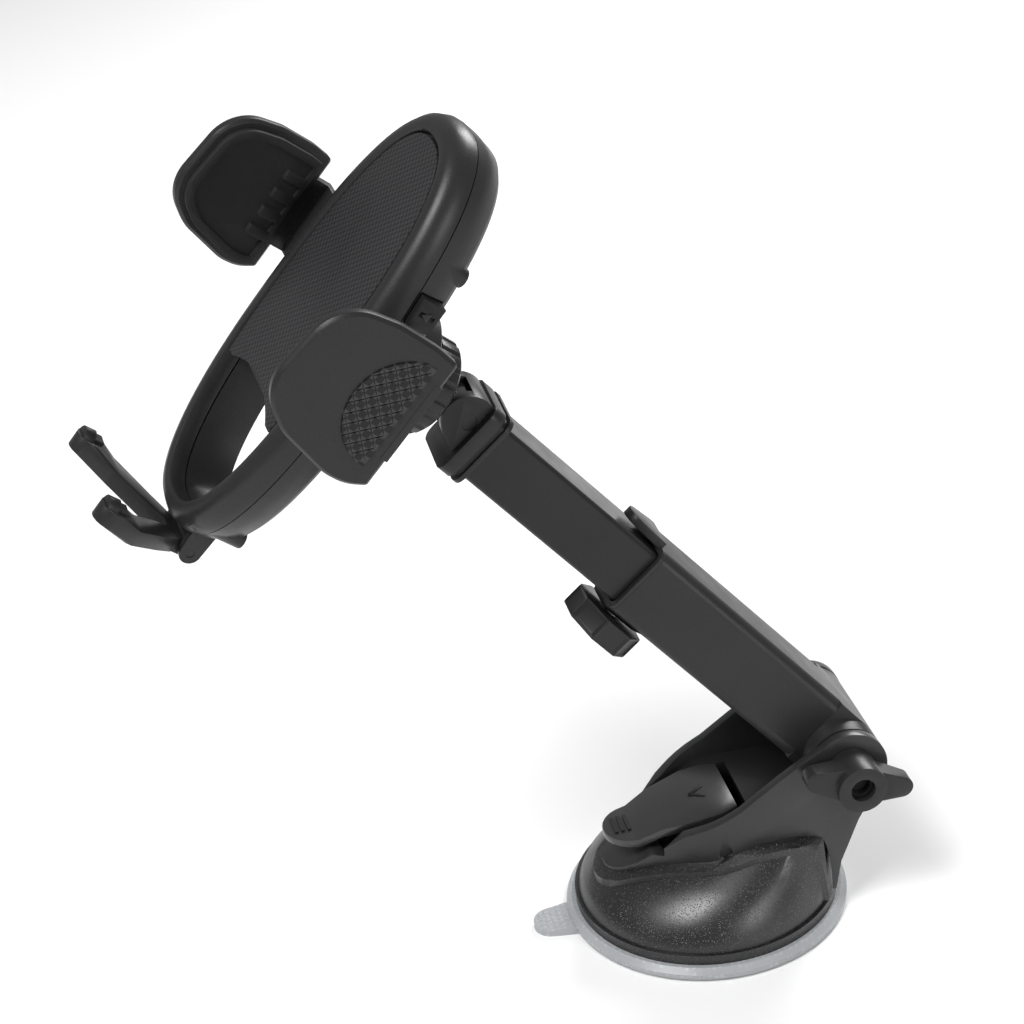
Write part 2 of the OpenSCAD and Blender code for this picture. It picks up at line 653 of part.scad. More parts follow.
module pinion() {
    tooth = 90 / pinion_teeth;
    color("#e8e8e0") head_frame() translate([clamp_x, 0, gear_z]) difference() {
        linear_extrude(gear_t) {
            circle(pinion_r - 1.05, $fn = 48);
            for (i = [0:pinion_teeth - 1]) rotate(i * 360 / pinion_teeth) polygon([
                [pinion_r - 1.4, -1], [pinion_r - 0.3, -0.72], [pinion_r + 0.8, -0.3],
                [pinion_r + 0.8, 0.3], [pinion_r - 0.3, 0.72], [pinion_r - 1.4, 1]]);
        }
        translate([0, 0, -1]) cylinder(h = 10, r = 2 + fit);
    }
}

// ---------- clamps: everything is drawn on the +Y side; the near one is mirrored ----------
module rack(side) {
    back = pinion_r + 1.2;
    rise = gear_t + pass_gap + 0.1;
    last_tooth = floor((stroke + 1.5) / rack_pitch - 0.5);
    translate([clamp_x, 0, side > 0 ? gear_z - pass_gap - 0.1 : gear_z]) {
        translate([side > 0 ? back : -back - 2.2, -slide_in, 0]) cube([2.2, stroke + 5.1, rise]);
        linear_extrude(rise) for (k = [-1:last_tooth]) translate([side * (pinion_r + 0.15), (k + 0.5) * rack_pitch])
            polygon([[-side * 0.8, -0.34], [side * 1.15, -0.98], [side * 1.15, 0.98], [-side * 0.8, 0.34]]);
    }
}
// D-shaped outline: a flat root with small corners and a broad round top
module plate_plan(inset) {
    h = plate_w / 2;
    offset(-inset) translate([clamp_x, plate_root]) intersection() {
        translate([-40, 0]) square([80, 60]);
        hull() {
        offset(corner_r) offset(-corner_r) polygon([[-h - 0.8, -4], [h - 1.2, -4], [h - 0.8, plate_h * 0.5],
            [h - 2.6, plate_h * 0.84], [h - 9, plate_h * 0.95], [-5.5, plate_h], [-10, plate_h * 0.97],
            [2.4 - h, plate_h * 0.72], [-h - 1.2, plate_h * 0.3]]);
        translate([-h + 0.6, 0]) offset(1.2) offset(-1.2) square([2 * h - 2.4, 6]);
        }
    }
}
module plate_frame() {
    translate([0, clamp_y, plate_root]) rotate([plate_lean, 0, 0]) translate([0, 0, -plate_root]) children();
}
module stand_up(y, t) { translate([0, y + t, 0]) rotate([90, 0, 0]) linear_extrude(t) children(); }
module clamp_arm(level, side) {
    difference() {
        union() {
            translate([clamp_x - slide_w / 2, -slide_in, level])
                cube([slide_w, clamp_y + slide_in, slide_t]);
            rack(side);
            translate([clamp_x - slide_w / 2, clamp_y - plate_t / 2, level])
                cube([slide_w, plate_t, plate_root - level + slide_t]);
            plate_frame() hull() {
                stand_up(-plate_t / 2, plate_t) plate_plan(plate_edge);
                stand_up(plate_edge - plate_t / 2, plate_t - 2 * plate_edge) plate_plan(0);
            }
        }
        if (level < gear_z)
            translate([clamp_x - 2.4, -slide_in - 1, level - 1]) cube([4.8, stroke + slide_in + 3.5, slide_t + 1]);
        // Pocket of the outer inlay
        plate_frame() stand_up(plate_t / 2 - 0.6, 3) inlay_plan();
    }
}
module inlay_plan() {
    intersection() {
        plate_plan(2.6);
        translate([clamp_x, plate_root + 3]) scale([1, 0.95]) circle(13.4, $fn = 64);
        translate([clamp_x - 40, plate_root + 3.6]) square([80, 40]);
    }
}
module clamp_inlay() {
    plate_frame() stand_up(plate_t / 2 - 0.6, 0.6) inlay_plan();
    plate_frame() intersection() {
        stand_up(plate_t / 2 - 0.6, 0.9) inlay_plan();
        for (i = [-7:7], j = [0:7]) if ((i + j) % 2 == 0)
            translate([clamp_x + i * 1.7, plate_t / 2, plate_root + 4.4 + j * 1.7]) rotate([0, 45, 0])
                cube([2.1, 0.7, 2.1], center = true);
    }
}
module pad_outline(inset) {
    difference() {
        plate_plan(inset);
        translate([clamp_x - 40, plate_root - 20]) square([80, 20 + slide_t + 1]);
    }
}
module clamp_pad() {
    plate_frame() {
        stand_up(-plate_t / 2 - 1, 1) pad_outline(2);
        stand_up(-plate_t / 2 - 1.8, 0.8) difference() {
            pad_outline(2);
            plate_plan(4.2);
        }
        for (i = [0:3]) translate([clamp_x - 9.5 + i * 5.4, -plate_t / 2 - 2.2, plate_root + 4.2])
            cube([2.6, 1.4, 5.5]);
    }
}
module clamp_arm_near() { color("#262626") head_frame() mirror([0, 1, 0]) clamp_arm(near_z, -1); }
module clamp_pad_near() { color("#181818") head_frame() mirror([0, 1, 0]) clamp_pad(); }
module clamp_inlay_near() { color("#3a3a3a") head_frame() mirror([0, 1, 0]) clamp_inlay(); }
module clamp_arm_far() { color("#262626") head_frame() clamp_arm(far_z, 1); }
module clamp_pad_far() { color("#181818") head_frame() clamp_pad(); }
module clamp_inlay_far() { color("#3a3a3a") head_frame() clamp_inlay(); }
module release_button() {
    translate([button_x, 0, button_z]) {
        difference() {
            translate([-button_w / 2, ring_b - 5.2, -button_h / 2]) cube([button_w, 5.8, button_h]);
            translate([0, ring_b + 0.9, 0]) rotate([0, 0, 45]) cube([1.4, 1.4, 4], center = true);
        }
        translate([-button_w / 2 - 0.7, ring_b - 6.4, 0.5 - button_h / 2]) cube([button_w + 1.4, 1.3, button_h - 1]);
        translate([0, ring_b - 6.3, 0]) rotate([90, 0, 0]) cylinder(h = 1.3, r = 1.1);
    }
}
module release_button_near() { color("#1b1b1b") head_frame() mirror([0, 1, 0]) release_button(); }
module release_button_far() { color("#1b1b1b") head_frame() release_button(); }
module button_springs() {
    color("silver") head_frame() for (side = [0, 1]) mirror([0, side, 0])
        translate([button_x, 15.9, button_z]) rotate([-90, 0, 0]) coil(1.9, 0.25, 2.5, 3);
}

// ---------- foot ----------
module foot_fork() {
    x = pin_foot[0];
    color("#272727") head_frame() difference() {
        union() {
            translate([x, 0, pin_foot[1]]) rotate([90, 0, 0]) cylinder(h = 10.8, r = 2.6, center = true);
            translate([x - 2.6, -5.4, pin_foot[1]]) cube([4, 10.8, 6]);
            for (side = [-1, 1]) {
                hull() {
                    translate([x - 0.8, side * 3.2, pin_foot[1] + 4]) cube([4, 4.4, 1.6], center = true);
                    translate([x, side * 6.5, 0]) cube([4, 6, 1.6], center = true);
                }
                hull() {
                    translate([x, side * 6.5, 0]) cube([4, 6, 1.6], center = true);
                    translate([x + 1.6, side * (fork_spread - 2.4), fork_reach * 0.55]) cube([4, 6.8, 1.6], center = true);
                }
                hull() {
                    translate([x + 1.6, side * (fork_spread - 2.4), fork_reach * 0.55]) cube([4, 6.8, 1.6], center = true);
                    translate([x + 4.2, side * fork_spread, fork_reach]) rotate([0, 90, 0])
                        cylinder(h = 4, r = 3.6, center = true, $fn = hull_fn);
                }
                translate([x + 5.8, side * fork_spread, fork_reach - 0.2]) cylinder(h = 2.8, r = 2.4);
            }
        }
        translate([x, 0, pin_foot[1]]) rotate([90, 0, 0]) cylinder(h = 30, r = 1 + fit, center = true);
    }
}
module foot_pads() {
    color("#141414") head_frame() for (side = [-1, 1])
        translate([pin_foot[0] + 6.6, side * fork_spread, fork_reach - 1.6]) cube([0.8, 3.6, 2.4], center = true);
}
module foot_pin() {
    color("silver") head_frame() translate([pin_foot[0], 0, pin_foot[1]]) rotate([90, 0, 0])
        cylinder(h = 15.6, r = 1, center = true);
}

suction_cup();
cup_stem();
cup_spring();
base_skirt();
base_housing();
lever_pin();
housing_screws();
pivot_bolt();
bolt_cap();
lock_lever();
lever_inlay();
wing_knob();
knob_insert();
outer_tube();
mouth_collar();
pivot_washers();
brake_shoe();
threaded_insert();
thumb_knob();
thumb_screw();
inner_tube();
end_slider();
end_socket();
eye_pin();
ball_stud();
ball_seat();
ring_nut();
rear_shell();
front_bezel();
face_plate();
face_pad();
shell_screws();
gear_post();
pinion();
clamp_arm_near();
clamp_pad_near();
clamp_inlay_near();
clamp_arm_far();
clamp_pad_far();
clamp_inlay_far();
release_button_near();
release_button_far();
button_springs();
foot_fork();
foot_pads();
foot_pin();
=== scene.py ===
"""Visible model of a telescopic suction-cup phone mount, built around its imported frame.

Lengths in the dataclasses are millimetres unless a name says otherwise; meshes are in metres.
"""

from __future__ import annotations

import json
import logging
import math
from dataclasses import dataclass, field
from enum import Enum
from typing import Any, Callable, Iterable, Sequence, Union

import bpy
from mathutils import Matrix, Vector

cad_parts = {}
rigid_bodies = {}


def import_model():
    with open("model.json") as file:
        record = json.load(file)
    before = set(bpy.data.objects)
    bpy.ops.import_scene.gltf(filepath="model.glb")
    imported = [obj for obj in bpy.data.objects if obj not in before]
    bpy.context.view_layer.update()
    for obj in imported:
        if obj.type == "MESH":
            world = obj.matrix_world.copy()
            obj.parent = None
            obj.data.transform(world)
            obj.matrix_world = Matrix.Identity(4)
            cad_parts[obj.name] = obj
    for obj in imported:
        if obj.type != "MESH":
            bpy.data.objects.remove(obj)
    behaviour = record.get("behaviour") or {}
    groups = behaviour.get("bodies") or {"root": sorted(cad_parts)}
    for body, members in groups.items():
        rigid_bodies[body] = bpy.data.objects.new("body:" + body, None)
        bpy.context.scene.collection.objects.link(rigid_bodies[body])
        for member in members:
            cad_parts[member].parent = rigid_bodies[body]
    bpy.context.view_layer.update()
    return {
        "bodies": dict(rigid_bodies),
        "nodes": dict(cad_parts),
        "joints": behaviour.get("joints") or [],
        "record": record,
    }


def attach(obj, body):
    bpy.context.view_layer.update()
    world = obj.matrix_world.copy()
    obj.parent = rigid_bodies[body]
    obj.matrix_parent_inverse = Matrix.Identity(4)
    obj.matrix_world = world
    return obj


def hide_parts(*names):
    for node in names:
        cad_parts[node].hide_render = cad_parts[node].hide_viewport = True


LOG = logging.getLogger("phone_mount")
MM = 0.001
# From the ball's centre to the holder ring's front plane
HEAD_DEPTH = 31.5
# Repeats of the ring pad's weave and of the clamp inlays' check
WEAVE_PITCH = 1.75
CHECK_PITCH = 1.7
# Dots per metre in the soft clear rubber
DOT_SCALE = 620.0
# A face looks along an axis when this much of its normal does
FACING = 0.9
# Vertices closer than this many metres are one
MERGE = 1e-6
Number = Union[int, float]
Colour = tuple[float, float, float]


# ---------------------------------------------------------------- shader maths


class Tree:
    """A material's node tree with one way to add any node."""

    def __init__(self, material: bpy.types.Material) -> None:
        """Starts from an empty tree.

        Args:
            material: The material whose nodes are written.
        """
        material.use_nodes = True
        self.tree = material.node_tree
        self.tree.nodes.clear()

    def node(self, kind: str, settings: dict[str, Any] | None = None,
             inputs: dict[Any, Any] | None = None) -> bpy.types.Node:
        """Adds a node.

        Args:
            kind: The node's type name.
            settings: Attributes set before the sockets; "stops" fills a colour ramp.
            inputs: Socket name or index to a value or a Signal.

        Returns:
            The new node.
        """
        made = self.tree.nodes.new(kind)
        for key, value in (settings or {}).items():
            if key == "stops":
                self._fill_ramp(made, value)
            else:
                setattr(made, key, value)
        for key, value in (inputs or {}).items():
            socket = made.inputs[key]
            if isinstance(value, Signal):
                self.tree.links.new(value.socket, socket)
            elif isinstance(value, bpy.types.NodeSocket):
                self.tree.links.new(value, socket)
            else:
                socket.default_value = value
        return made

    @staticmethod
    def _fill_ramp(node: bpy.types.Node, stops: Sequence[tuple[float, Number]]) -> None:
        """Sets a colour ramp's stops.

        Args:
            node: The ramp node.
            stops: Pairs of place and grey level, lowest place first.
        """
        ramp = node.color_ramp
        while len(ramp.elements) < len(stops):
            ramp.elements.new(0.5)
        for element, (place, level) in zip(ramp.elements, stops):
            element.position = place
            element.color = (level, level, level, 1.0)

    def signal(self, kind: str, output: Any = 0, settings: dict[str, Any] | None = None,
               inputs: dict[Any, Any] | None = None) -> "Signal":
        """Adds a node and wraps one of its outputs.

        Args:
            kind: The node's type name.
            output: The output's name or index.
            settings: As for node.
            inputs: As for node.

        Returns:
            The wrapped output.
        """
        return Signal(self, self.node(kind, settings, inputs).outputs[output])

    def mix(self, factor: "Signal", low: Colour, high: Colour) -> "Signal":
        """Blends two colours.

        Args:
            factor: Share of the second colour.
            low: Colour at 0.
            high: Colour at 1.

        Returns:
            The blended colour.
        """
        return self.signal("ShaderNodeMix", 2, {"data_type": "RGBA"},
                           {0: factor, 6: (*low, 1.0), 7: (*high, 1.0)})


class Signal:
    """A value socket that takes part in Python arithmetic."""

    def __init__(self, tree: Tree, socket: bpy.types.NodeSocket) -> None:
        """Wraps a socket.

        Args:
            tree: The tree that gets the Math nodes.
            socket: The output that carries the value.
        """
        self.tree = tree
        self.socket = socket

    def math(self, operation: str, *values: "Signal | Number") -> "Signal":
        """Adds a Math node with this value and others as its inputs.

        Args:
            operation: The Math node's operation.
            values: The other inputs.

        Returns:
            The result.
        """
        inputs = {i: v for i, v in enumerate((self, *values))}
        return self.tree.signal("ShaderNodeMath", 0, {"operation": operation}, inputs)

    def _turned(self, operation: str, other: Number) -> "Signal":
        """A Math node with the plain number first, for the reflected operators.

        Args:
            operation: The Math node's operation.
            other: The plain number.

        Returns:
            The result.
        """
        return self.tree.signal("ShaderNodeMath", 0, {"operation": operation}, {0: other, 1: self})

    def __add__(self, other: "Signal | Number") -> "Signal":
        """Sum."""
        return self.math("ADD", other)

    def __sub__(self, other: "Signal | Number") -> "Signal":
        """Difference."""
        return self.math("SUBTRACT", other)

    def __mul__(self, other: "Signal | Number") -> "Signal":
        """Product."""
        return self.math("MULTIPLY", other)

    def __truediv__(self, other: "Signal | Number") -> "Signal":
        """Quotient."""
        return self.math("DIVIDE", other)

    def __radd__(self, other: Number) -> "Signal":
        """Reflected sum."""
        return self._turned("ADD", other)

    def __rsub__(self, other: Number) -> "Signal":
        """Reflected difference."""
        return self._turned("SUBTRACT", other)

    def __rmul__(self, other: Number) -> "Signal":
        """Reflected product."""
        return self._turned("MULTIPLY", other)

    def clamp(self) -> "Signal":
        """This value kept between 0 and 1."""
        return self.math("MINIMUM", 1.0).math("MAXIMUM", 0.0)


# ---------------------------------------------------------------- finishes


class Pattern(Enum):
    """How a finish varies over a surface."""

    MOULDED = "fine moulded grain"
    # Bright flecks: real moulded grain in the bump, painted glints in the colour
    SPECKLED = "fine bright speckle"
    WOVEN = "woven pad"
    DIAMOND = "diamond check"
    DOTTED = "raised dots in soft clear rubber"
    BRUSHED = "brushed metal"
    RUBBER = "dull rubber"


@dataclass(frozen=True)
class Finish:
    """One finish and the record slots that take it."""

    slots: tuple[str, ...]
    pattern: Pattern
    colour: Colour
    light: Colour
    roughness: float
    grain: float = 2600.0
    bump: float = 0.12
    metallic: float = 0.0
    specular: float = 0.3
    coat: float = 0.0
    transmission: float = 0.0


FINISHES: tuple[Finish, ...] = (
    Finish(("clear_cup",), Pattern.DOTTED, (0.52, 0.54, 0.56), (0.74, 0.76, 0.78), 0.34,
           transmission=0.45),
    # The skirt's light colour is the colour of its painted glints; the bump gives the real grain
    Finish(("skirt_black",), Pattern.SPECKLED, (0.008, 0.008, 0.009), (0.11, 0.11, 0.113), 0.34,
           grain=2300.0, bump=0.55, specular=0.7),
    Finish(("housing_black", "inner_black"), Pattern.MOULDED, (0.01, 0.01, 0.011),
           (0.032, 0.032, 0.033), 0.38, bump=0.22, specular=0.5),
    Finish(("lever_black",), Pattern.MOULDED, (0.012, 0.012, 0.013), (0.036, 0.036, 0.037), 0.33,
           bump=0.2, specular=0.6, coat=0.2),
    Finish(("lever_mark",), Pattern.MOULDED, (0.006, 0.006, 0.006), (0.01, 0.01, 0.01), 0.5),
    Finish(("knob_black",), Pattern.MOULDED, (0.012, 0.012, 0.013), (0.022, 0.022, 0.023), 0.38,
           bump=0.16),
    Finish(("arm_black",), Pattern.MOULDED, (0.009, 0.009, 0.01), (0.03, 0.03, 0.031), 0.4, bump=0.26),
    Finish(("tube_grey",), Pattern.MOULDED, (0.008, 0.008, 0.009), (0.02, 0.02, 0.021), 0.36,
           bump=0.14),
    Finish(("steel",), Pattern.BRUSHED, (0.42, 0.43, 0.45), (0.6, 0.61, 0.63), 0.28, metallic=1.0,
           bump=0.08),
    # Near-black and not metallic: on the bolt end deep in the wing knob's recess this colour is painted
    # shade
    Finish(("black_steel",), Pattern.BRUSHED, (0.014, 0.014, 0.015), (0.03, 0.03, 0.032), 0.36,
           bump=0.06),
    Finish(("brass",), Pattern.BRUSHED, (0.5, 0.34, 0.12), (0.66, 0.48, 0.2), 0.3, metallic=1.0,
           bump=0.08),
    Finish(("stud_black",), Pattern.MOULDED, (0.008, 0.008, 0.009), (0.014, 0.014, 0.015), 0.14,
           bump=0.03, coat=0.5),
    Finish(("natural_nylon",), Pattern.MOULDED, (0.55, 0.53, 0.46), (0.64, 0.62, 0.55), 0.45),
    Finish(("holder_black",), Pattern.MOULDED, (0.01, 0.01, 0.011), (0.028, 0.028, 0.029), 0.35,
           bump=0.2),
    Finish(("pad_rubber",), Pattern.WOVEN, (0.008, 0.008, 0.009), (0.034, 0.034, 0.036), 0.56,
           bump=0.5),
    Finish(("clamp_black",), Pattern.MOULDED, (0.009, 0.009, 0.01), (0.024, 0.024, 0.025), 0.4,
           bump=0.22),
    Finish(("inlay_check",), Pattern.DIAMOND, (0.006, 0.006, 0.006), (0.036, 0.036, 0.037), 0.48,
           bump=0.5),
    Finish(("grip_rubber",), Pattern.RUBBER, (0.012, 0.012, 0.012), (0.021, 0.021, 0.021), 0.62,
           bump=0.2),
    Finish(("button_black",), Pattern.MOULDED, (0.006, 0.006, 0.006), (0.01, 0.01, 0.01), 0.5),
)


@dataclass(frozen=True)
class Axes:
    """The holder's own directions, read from the joints."""

    up: Vector
    side: Vector
    front: Vector
    origin: Vector


class FinishShop:
    """Builds one material per record slot."""

    def __init__(self, axes: Axes) -> None:
        """Keeps the holder's axes, which the woven and checked finishes follow.

        Args:
            axes: The holder's directions and centre.
        """
        self.axes = axes
        self.made: dict[str, bpy.types.Material] = {}
        for finish in FINISHES:
            for slot in finish.slots:
                self.made[slot] = self._build(slot, finish)

    def _along(self, tree: Tree, direction: Vector) -> Signal:
        """Distance of a point from the holder's centre along a direction.

        Args:
            tree: The material's tree.
            direction: A unit vector.

        Returns:
            The distance in metres.
        """
        here = tree.signal("ShaderNodeTexCoord", "Object")
        away = tree.signal("ShaderNodeVectorMath", 0, {"operation": "SUBTRACT"},
                           {0: here, 1: tuple(self.axes.origin)})
        return tree.signal("ShaderNodeVectorMath", "Value", {"operation": "DOT_PRODUCT"},
                           {0: away, 1: tuple(direction)})

    @staticmethod
    def _noise(tree: Tree, scale: float, detail: float = 2.0, stretch: Vector | None = None) -> Signal:
        """A noise over the object's own coordinates.

        Args:
            tree: The material's tree.
            scale: Cells per metre.
            detail: Octaves.
            stretch: Scale along each axis, for brushed marks.

        Returns:
            The noise, about 0.5.
        """
        here = tree.signal("ShaderNodeTexCoord", "Object")
        if stretch is not None:
            here = tree.signal("ShaderNodeMapping", 0, None, {0: here, 3: tuple(stretch)})
        return tree.signal("ShaderNodeTexNoise", 0, None,
                           {"Vector": here, "Scale": scale, "Detail": detail})

    def _mask(self, tree: Tree, finish: Finish) -> tuple[Signal, Signal]:
        """The colour mask and height of a finish.

        Args:
            tree: The material's tree.
            finish: The finish.

        Returns:
            The mask from 0 to 1, and the height that feeds the bump.
        """
        pattern = finish.pattern
        if pattern is Pattern.SPECKLED:
            # The flecks in the colour are painted glints that stand in for the sparkle in the highlights;
            # as height they are the real moulded grain
            cells = tree.signal("ShaderNodeTexVoronoi", 0, {"feature": "F1"},
                                {"Vector": tree.signal("ShaderNodeTexCoord", "Object"),
                                 "Scale": finish.grain})
            spots = tree.signal("ShaderNodeValToRGB", 0, {"stops": ((0.12, 1.0), (0.34, 0.0))}, {0: cells})
            sparse = tree.signal("ShaderNodeValToRGB", 0, {"stops": ((0.44, 0.0), (0.6, 1.0))},
                                 {0: self._noise(tree, finish.grain * 0.6)})
            mask = spots * (0.25 + sparse * 0.75)
            return mask, mask
        if pattern is Pattern.WOVEN:
            pitch = 2.0 * math.pi / (WEAVE_PITCH * MM)
            across = (self._along(tree, self.axes.side) * pitch).math("SINE")
            along = (self._along(tree, self.axes.up) * pitch).math("SINE")
            weave = (across * along * 0.5 + 0.5).clamp()
            fuzz = self._noise(tree, 5200.0)
            return (weave * (0.7 + fuzz * 0.6)).clamp(), weave
        if pattern is Pattern.DIAMOND:
            pitch = math.pi / (CHECK_PITCH * MM)
            first = (self._along(tree, self.axes.up) * pitch).math("SINE")
            second = (self._along(tree, self.axes.front) * pitch).math("SINE")
            check = (first * second * 3.0 + 0.5).clamp()
            return check, check
        if pattern is Pattern.DOTTED:
            cells = tree.signal("ShaderNodeTexVoronoi", 0, {"feature": "F1"},
                                {"Vector": tree.signal("ShaderNodeTexCoord", "Object"),
                                 "Scale": DOT_SCALE, "Randomness": 0.35})
            dots = tree.signal("ShaderNodeValToRGB", 0, {"stops": ((0.2, 1.0), (0.36, 0.0))}, {0: cells})
            cloud = self._noise(tree, 60.0)
            return (dots * 0.5 + cloud * 0.6).clamp(), dots
        if pattern is Pattern.BRUSHED:
            marks = self._noise(tree, 260.0, 3.0, Vector((1.0, 9.0, 1.0)))
            return marks, marks
        if pattern is Pattern.RUBBER:
            fine = self._noise(tree, 1500.0, 4.0)
            dust = tree.signal("ShaderNodeValToRGB", 0, {"stops": ((0.6, 0.0), (0.78, 1.0))},
                               {0: self._noise(tree, 420.0, 4.0)})
            return (fine * 0.6 + dust * 0.5).clamp(), fine
        grain = self._noise(tree, finish.grain, 3.0)
        flow = self._noise(tree, 45.0, 2.0)
        return (grain * 0.55 + flow * 0.45).clamp(), grain

    def _build(self, slot: str, finish: Finish) -> bpy.types.Material:
        """Builds a slot's material.

        Args:
            slot: The record's slot name.
            finish: The finish.

        Returns:
            The material.
        """
        material = bpy.data.materials.new(slot)
        tree = Tree(material)
        mask, height = self._mask(tree, finish)
        flow = self._noise(tree, 30.0, 3.0)
        scuff = tree.signal("ShaderNodeValToRGB", 0, {"stops": ((0.35, 0.0), (0.7, 1.0))},
                            {0: self._noise(tree, 140.0, 5.0)})
        rough = (finish.roughness + (flow - 0.5) * 0.16 + (scuff - 0.5) * 0.06 - mask * 0.04).clamp()
        bump = tree.signal("ShaderNodeBump", 0, None,
                           {"Strength": finish.bump, "Distance": 0.00012, "Height": height})
        shader = tree.node("ShaderNodeBsdfPrincipled", None, {
            "Base Color": tree.mix(mask, finish.colour, finish.light),
            "Roughness": rough, "Metallic": finish.metallic, "Specular IOR Level": finish.specular,
            "Coat Weight": finish.coat, "Coat Roughness": 0.2,
            "Transmission Weight": finish.transmission, "IOR": 1.46, "Normal": bump})
        tree.node("ShaderNodeOutputMaterial", None, {"Surface": shader.outputs[0]})
        return material

    def dress(self, piece: bpy.types.Object, slot: str) -> None:
        """Gives a piece the material of a slot.

        Args:
            piece: The mesh object.
            slot: The record's slot name.
        """
        piece.data.materials.clear()
        piece.data.materials.append(self.made[slot])


# ---------------------------------------------------------------- workbench


class Bench:
    """Modelling by operators, with the selection always set in code."""

    @staticmethod
    def clear() -> None:
        """Leaves edit mode and deselects everything."""
        if bpy.context.object is not None and bpy.context.object.mode != "OBJECT":
            bpy.ops.object.mode_set(mode="OBJECT")
        bpy.ops.object.select_all(action="DESELECT")

    @classmethod
    def take(cls, piece: bpy.types.Object) -> None:
        """Makes a piece the only selected and active object.

        Args:
            piece: The mesh object.
        """
        cls.clear()
        piece.select_set(True)
        bpy.context.view_layer.objects.active = piece

    @classmethod
    def add(cls, maker: Callable[..., Any], **sizes: Any) -> bpy.types.Object:
        """Adds a primitive with nothing else selected.

        Args:
            maker: The primitive operator.
            sizes: Its settings.

        Returns:
            The new object.
        """
        cls.clear()
        maker(**sizes)
        return bpy.context.object

    @classmethod
    def pick(cls, piece: bpy.types.Object, wanted: Callable[[bpy.types.MeshPolygon], bool]) -> None:
        """Selects faces by place or normal and enters edit mode on faces.

        Args:
            piece: The mesh object.
            wanted: Tells whether a face is selected.
        """
        cls.take(piece)
        bpy.ops.object.mode_set(mode="EDIT")
        bpy.ops.mesh.select_mode(type="FACE")
        bpy.ops.mesh.select_all(action="DESELECT")
        bpy.ops.object.mode_set(mode="OBJECT")
        for face in piece.data.polygons:
            face.select = wanted(face)
        bpy.ops.object.mode_set(mode="EDIT")

    @classmethod
    def inset_push(cls, depth: float, thickness: float) -> None:
        """Insets the selected faces and moves the inner ones along their normals.

        Args:
            depth: Move outwards in metres, negative to sink.
            thickness: Inset in metres.
        """
        bpy.ops.mesh.inset(thickness=thickness, depth=0.0)
        bpy.ops.mesh.extrude_region_shrink_fatten(TRANSFORM_OT_shrink_fatten={"value": depth})

    @classmethod
    def soften(cls, piece: bpy.types.Object, width: float, segments: int = 3, angle: float = 30.0) -> None:
        """Bevels the sharp edges and smooths the shading.

        Args:
            piece: The mesh object.
            width: Bevel width in metres.
            segments: Bevel segments.
            angle: Edges sharper than this many degrees are bevelled.
        """
        cls.clear()
        cls.take(piece)
        bevel = piece.modifiers.new("soft_edges", "BEVEL")
        bevel.width = width
        bevel.segments = segments
        bevel.limit_method = "ANGLE"
        bevel.angle_limit = math.radians(angle)
        bpy.ops.object.modifier_apply(modifier=bevel.name)
        bpy.ops.object.shade_smooth_by_angle(angle=math.radians(38.0))

    @classmethod
    def settle(cls, piece: bpy.types.Object, place: Matrix, name: str) -> bpy.types.Object:
        """Puts a piece in place and leaves its object at the origin.

        Args:
            piece: The mesh object, modelled about its own origin.
            place: Where it goes.
            name: Its name.

        Returns:
            The same piece.
        """
        cls.clear()
        cls.take(piece)
        bpy.ops.object.transform_apply(location=True, rotation=True, scale=True)
        piece.matrix_world = place
        bpy.context.view_layer.update()
        bpy.ops.object.transform_apply(location=True, rotation=True, scale=True)
        bpy.ops.object.mode_set(mode="EDIT")
        bpy.ops.mesh.select_all(action="SELECT")
        bpy.ops.mesh.remove_doubles(threshold=MERGE)
        bpy.ops.mesh.normals_make_consistent(inside=False)
        bpy.ops.object.mode_set(mode="OBJECT")
        piece.name = name
        piece.data.name = name
        return piece

    @classmethod
    def join(cls, pieces: Sequence[bpy.types.Object]) -> bpy.types.Object:
        """Joins pieces into the first one.

        Args:
            pieces: Mesh objects.

        Returns:
            The joined object.
        """
        cls.clear()
        for piece in pieces:
            piece.select_set(True)
        bpy.context.view_layer.objects.active = pieces[0]
        if len(pieces) > 1:
            bpy.ops.object.join()
        return bpy.context.object


def place_from(origin: Vector, x: Vector, y: Vector, z: Vector) -> Matrix:
    """A placement matrix from an origin and three axes.

    Args:
        origin: The place, in metres.
        x: Local X.
        y: Local Y.
        z: Local Z.

    Returns:
        The matrix.
    """
    turn = Matrix((x, y, z)).transposed().to_4x4()
    return Matrix.Translation(origin) @ turn


@dataclass
class Rig:
    """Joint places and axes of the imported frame."""

    joints: list[dict[str, Any]]

    def joint(self, name: str) -> dict[str, Any]:
        """The joint of that name.

        Args:
            name: The joint's name.

        Returns:
            Its entry in the frame.
        """
        return next(j for j in self.joints if j["name"] == name)

    def axis(self, name: str) -> Vector:
        """The joint's unit axis.

        Args:
            name: The joint's name.

        Returns:
            The axis.
        """
        return Vector(self.joint(name)["axis"]).normalized()

    def place(self, name: str) -> Vector:
        """A point on the joint's axis.

        Args:
            name: The joint's name.

        Returns:
            The point, in metres.
        """
        return Vector(self.joint(name)["pos_m"])

    def holder(self) -> Axes:
        """The holder's directions, centred on the ring's front plane.

        Returns:
            The directions and the centre.
        """
        front = self.axis("head_spin")
        side = self.axis("clamp_near_slide")
        up = side.cross(front).normalized()
        return Axes(up, side, front, self.place("head_spin") + front * HEAD_DEPTH * MM)


@dataclass
class Piece:
    """A finished piece with where it belongs."""

    mesh: bpy.types.Object
    body: str
    slot: str
    stands_for: tuple[str, ...] = ()


